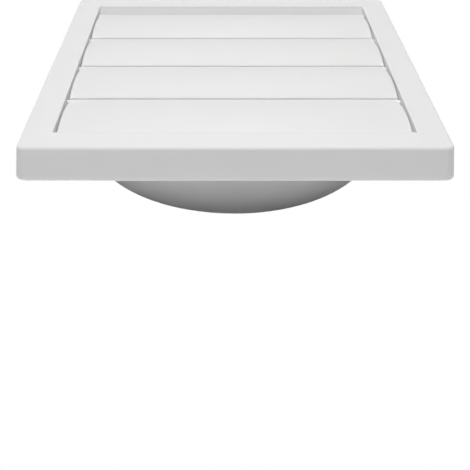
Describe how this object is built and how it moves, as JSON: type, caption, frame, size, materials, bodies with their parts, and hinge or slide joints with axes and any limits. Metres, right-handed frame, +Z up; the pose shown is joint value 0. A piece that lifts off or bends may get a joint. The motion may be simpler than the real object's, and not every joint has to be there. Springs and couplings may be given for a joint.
{
  "type": "dryer vent cap",
  "caption": "Square white wall cap for a dryer duct, with gravity flaps across its opening and a round spigot behind it.",
  "frame": {"origin": "on the axis of the spigot, in the plane of the skirt's rim, where the cap meets the wall", "axes": "+Y along the spigot into the wall, -Y out through the flaps, +Z up the wall, +X to the right seen from outside"},
  "size_m": [0.154, 0.037, 0.154],
  "materials": {
    "frame_plastic": "satin moulded white plastic",
    "flap_plastic": "satin moulded white plastic"
  },
  "bodies": {
    "frame": {"frame": "frame_plastic"},
    "flap_1": {"flap_1": "flap_plastic"},
    "flap_2": {"flap_2": "flap_plastic"},
    "flap_3": {"flap_3": "flap_plastic"},
    "flap_4": {"flap_4": "flap_plastic"}
  },
  "joints": [
    {"name": "flap_1_swing", "type": "hinge", "parent": "frame", "child": "flap_1", "pos_m": [0, -0.00888, 0.0575], "axis": [-1, 0, 0], "range_deg": [0, 75]},
    {"name": "flap_2_swing", "type": "hinge", "parent": "frame", "child": "flap_2", "pos_m": [0, -0.00888, 0.0268], "axis": [-1, 0, 0], "range_deg": [0, 75]},
    {"name": "flap_3_swing", "type": "hinge", "parent": "frame", "child": "flap_3", "pos_m": [0, -0.00888, -0.0039], "axis": [-1, 0, 0], "range_deg": [0, 75]},
    {"name": "flap_4_swing", "type": "hinge", "parent": "frame", "child": "flap_4", "pos_m": [0, -0.00888, -0.0346], "axis": [-1, 0, 0], "range_deg": [0, 75]}
  ]
}
